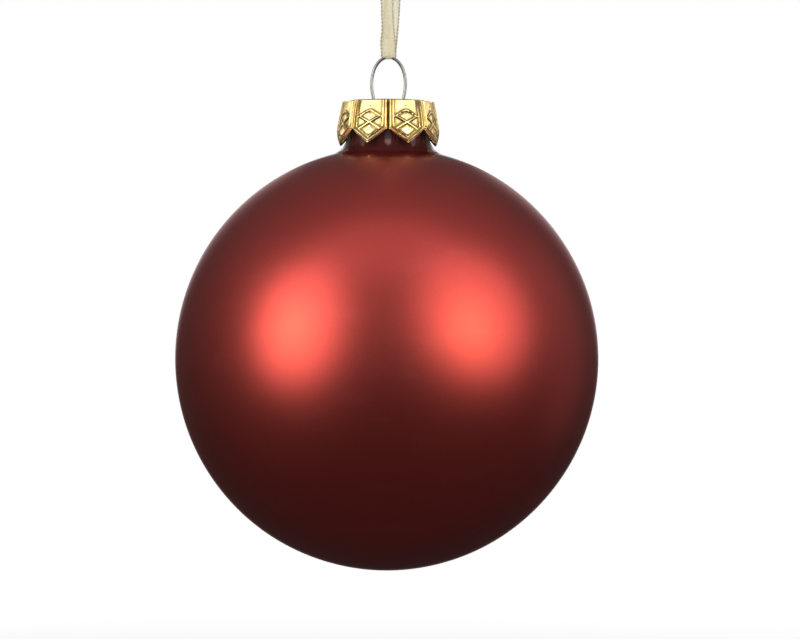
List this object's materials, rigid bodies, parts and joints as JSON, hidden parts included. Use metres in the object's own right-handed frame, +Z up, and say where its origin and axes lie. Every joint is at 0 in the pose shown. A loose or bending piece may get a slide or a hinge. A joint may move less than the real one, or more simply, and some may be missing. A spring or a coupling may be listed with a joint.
{
  "type": "glass ball ornament",
  "caption": "Hanging round glass ball ornament with a stamped gold cap, a wire loop and a knotted ribbon hanger.",
  "frame": {"origin": "hang point: the inside top of the ribbon loop, under the knot, where a hook or twig carries the ornament", "axes": "+Z up along the hanging line through the ribbon, wire loop, cap and ball; +X across the ribbon and in the plane of the wire loop; +Y to the back; a corner of the cap points to -Y"},
  "size_m": [0.08, 0.08, 0.1556],
  "materials": {
    "lacquered_glass": "silvered inside, satin dark red metallic lacquer outside, opaque",
    "gold_sheet": "bright gold-coloured stamped sheet",
    "spring_wire": "bright drawn spring wire",
    "ribbon_weave": "cream and pale gold woven ribbon with a fine selvedge"
  },
  "bodies": {
    "ribbon": {"ribbon": "ribbon_weave"},
    "hanger": {"hanger_wire": "spring_wire"},
    "cap": {"cap": "gold_sheet"},
    "ball": {"glass_ball": "lacquered_glass"}
  },
  "joints": [
    {"name": "ornament_swing", "type": "hinge", "parent": "ribbon", "child": "hanger", "pos_m": [0, 0, -0.0479], "axis": [1, 0, 0], "range_deg": [-115, 115]},
    {"name": "wire_in_cap", "type": "slide", "parent": "hanger", "child": "cap", "axis": [0, 0, 1], "range_m": [-0.0015, 0.0015]},
    {"name": "cap_pull_off", "type": "slide", "parent": "cap", "child": "ball", "axis": [0, 0, -1], "range_m": [0, 0.02]}
  ]
}
